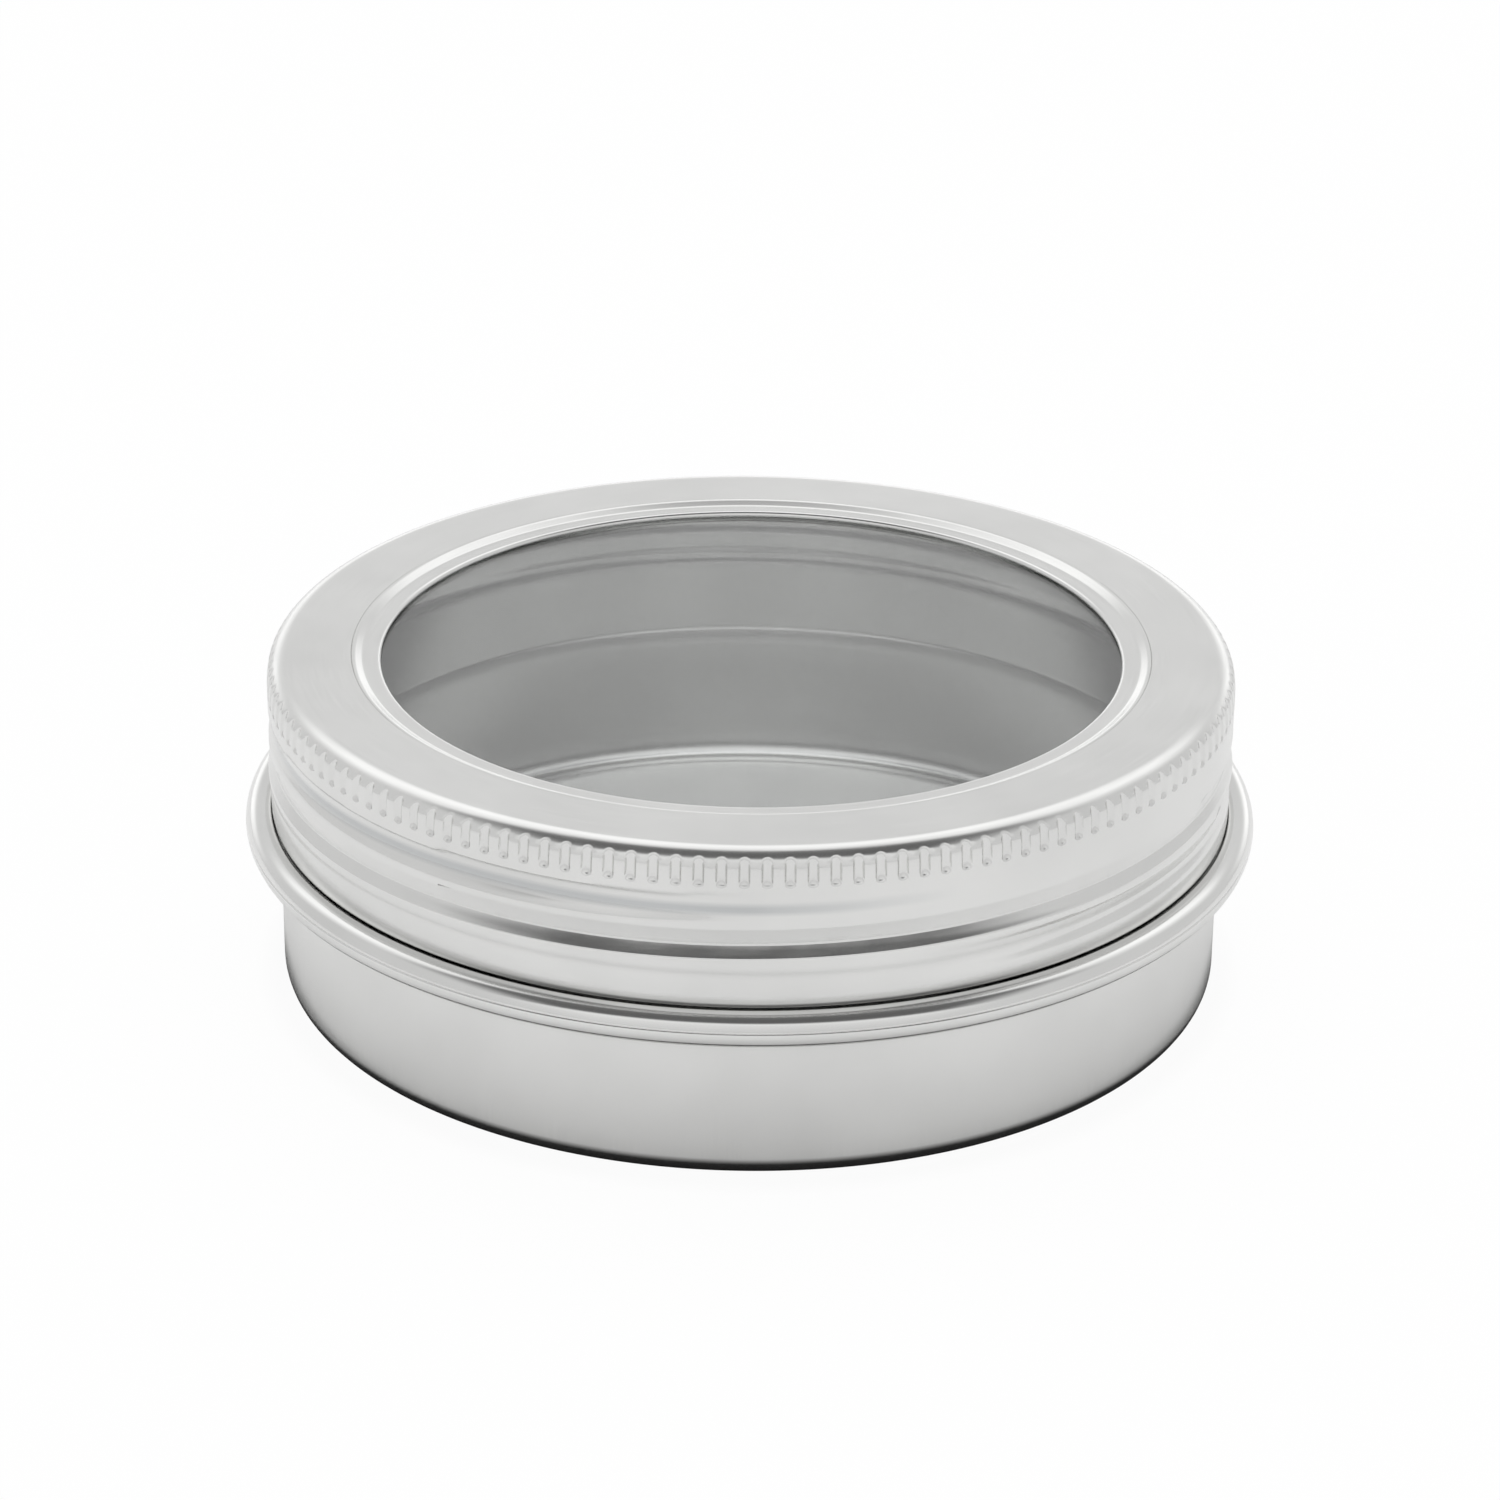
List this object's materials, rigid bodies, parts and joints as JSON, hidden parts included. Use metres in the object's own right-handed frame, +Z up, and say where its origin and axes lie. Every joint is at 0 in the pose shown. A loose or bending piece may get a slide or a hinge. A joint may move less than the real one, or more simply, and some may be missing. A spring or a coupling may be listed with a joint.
{
  "type": "window lid tin",
  "caption": "Round screw-top aluminium tin with a rolled bead, a fluted and threaded lid, a clear window held under the lid's shelf, and a foam liner.",
  "frame": {"origin": "centre of the tin's flat base, on the surface it stands on", "axes": "+Z up along the screw axis; -Y towards the front of the pictured view"},
  "size_m": [0.083, 0.083, 0.028],
  "materials": {
    "body_aluminium": "bare drawn sheet, satin, with faint upright brushing on the wall",
    "lid_aluminium": "bare pressed sheet, satin, with faint brushing round the top",
    "clear_plastic": "clear, glossy plastic sheet",
    "foam": "matt white closed-cell foam"
  },
  "bodies": {
    "tin": {"tin_body": "body_aluminium"},
    "liner": {"liner": "foam"},
    "lid": {"lid_shell": "lid_aluminium", "window": "clear_plastic"}
  },
  "joints": [
    {"name": "lid_rise", "type": "slide", "parent": "tin", "child": "liner", "axis": [0, 0, 1], "range_m": [0, 0.0121]},
    {"name": "lid_turn", "type": "hinge", "parent": "liner", "child": "lid", "pos_m": [0, 0, 0.0166], "axis": [0, 0, 1], "range_deg": [0, 1440]}
  ],
  "couplings": [
    {"joint": "lid_rise", "follows": "lid_turn", "m_per_rad": 0.00047746}
  ]
}
